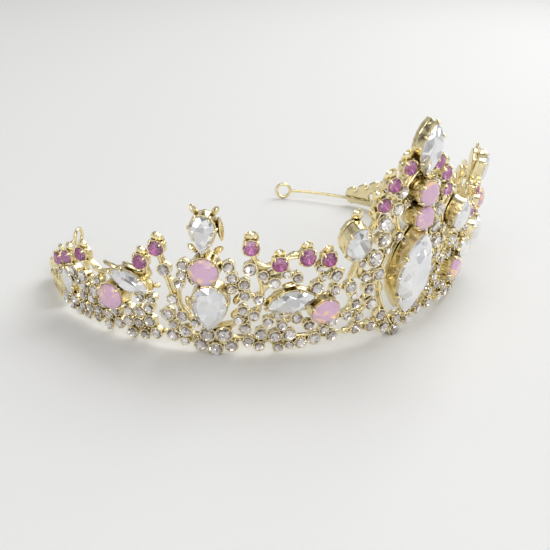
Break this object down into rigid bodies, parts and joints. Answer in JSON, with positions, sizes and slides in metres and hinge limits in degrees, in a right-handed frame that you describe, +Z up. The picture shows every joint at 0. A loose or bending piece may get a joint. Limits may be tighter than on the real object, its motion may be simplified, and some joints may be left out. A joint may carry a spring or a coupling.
{
  "type": "bridal tiara",
  "caption": "Gilt openwork tiara with a tall pointed centre and two lower peaks, set with clear, pink opal and amethyst-coloured stones, open at the back, with a wire eye at each end",
  "frame": {"origin": "middle of the footprint of the whole tiara, on the surface that it stands on", "axes": "+X runs across the wearer's head from the left peak to the right peak and is the longest extent, the front faces -Y, +Z is up and the shortest extent"},
  "size_m": [0.1348, 0.109, 0.0595],
  "materials": {
    "gilt_alloy": "polished pale gold plate over a cast alloy",
    "clear_crystal": "faceted clear glass on a silver foil",
    "opal_glass": "milky pink opal glass, faceted, with a warm glow inside",
    "amethyst_crystal": "faceted light amethyst glass on a silver foil"
  },
  "bodies": {
    "root": {"centre_casting": "gilt_alloy", "left_side_casting": "gilt_alloy", "left_outer_casting": "gilt_alloy", "left_tail_casting": "gilt_alloy", "left_eye_wire": "gilt_alloy", "right_side_casting": "gilt_alloy", "right_outer_casting": "gilt_alloy", "right_tail_casting": "gilt_alloy", "right_eye_wire": "gilt_alloy", "top_navette": "clear_crystal", "upper_opal": "opal_glass", "lower_opal": "opal_glass", "centre_navette": "clear_crystal", "left_top_amethyst": "amethyst_crystal", "left_crest_amethyst_1": "amethyst_crystal", "left_crest_amethyst_2": "amethyst_crystal", "left_inner_oval": "clear_crystal", "left_edge_amethyst_1": "amethyst_crystal", "left_edge_amethyst_2": "amethyst_crystal", "left_edge_amethyst_3": "amethyst_crystal", "left_tip_amethyst_1": "amethyst_crystal", "left_inner_opal": "opal_glass", "left_lying_navette": "clear_crystal", "left_peak_drop": "clear_crystal", "left_peak_opal": "opal_glass", "left_peak_pear": "clear_crystal", "left_tip_amethyst_2": "amethyst_crystal", "left_tip_amethyst_3": "amethyst_crystal", "left_slanted_navette": "clear_crystal", "left_outer_opal": "opal_glass", "left_end_amethyst_1": "amethyst_crystal", "left_end_amethyst_2": "amethyst_crystal", "left_end_amethyst_3": "amethyst_crystal", "left_end_navette": "clear_crystal", "right_top_amethyst": "amethyst_crystal", "right_crest_amethyst_1": "amethyst_crystal", "right_crest_amethyst_2": "amethyst_crystal", "right_inner_oval": "clear_crystal", "right_edge_amethyst_1": "amethyst_crystal", "right_edge_amethyst_2": "amethyst_crystal", "right_edge_amethyst_3": "amethyst_crystal", "right_tip_amethyst_1": "amethyst_crystal", "right_inner_opal": "opal_glass", "right_lying_navette": "clear_crystal", "right_peak_drop": "clear_crystal", "right_peak_opal": "opal_glass", "right_peak_pear": "clear_crystal", "right_tip_amethyst_2": "amethyst_crystal", "right_tip_amethyst_3": "amethyst_crystal", "right_slanted_navette": "clear_crystal", "right_outer_opal": "opal_glass", "right_end_amethyst_1": "amethyst_crystal", "right_end_amethyst_2": "amethyst_crystal", "right_end_amethyst_3": "amethyst_crystal", "right_end_navette": "clear_crystal"}
  },
  "joints": []
}
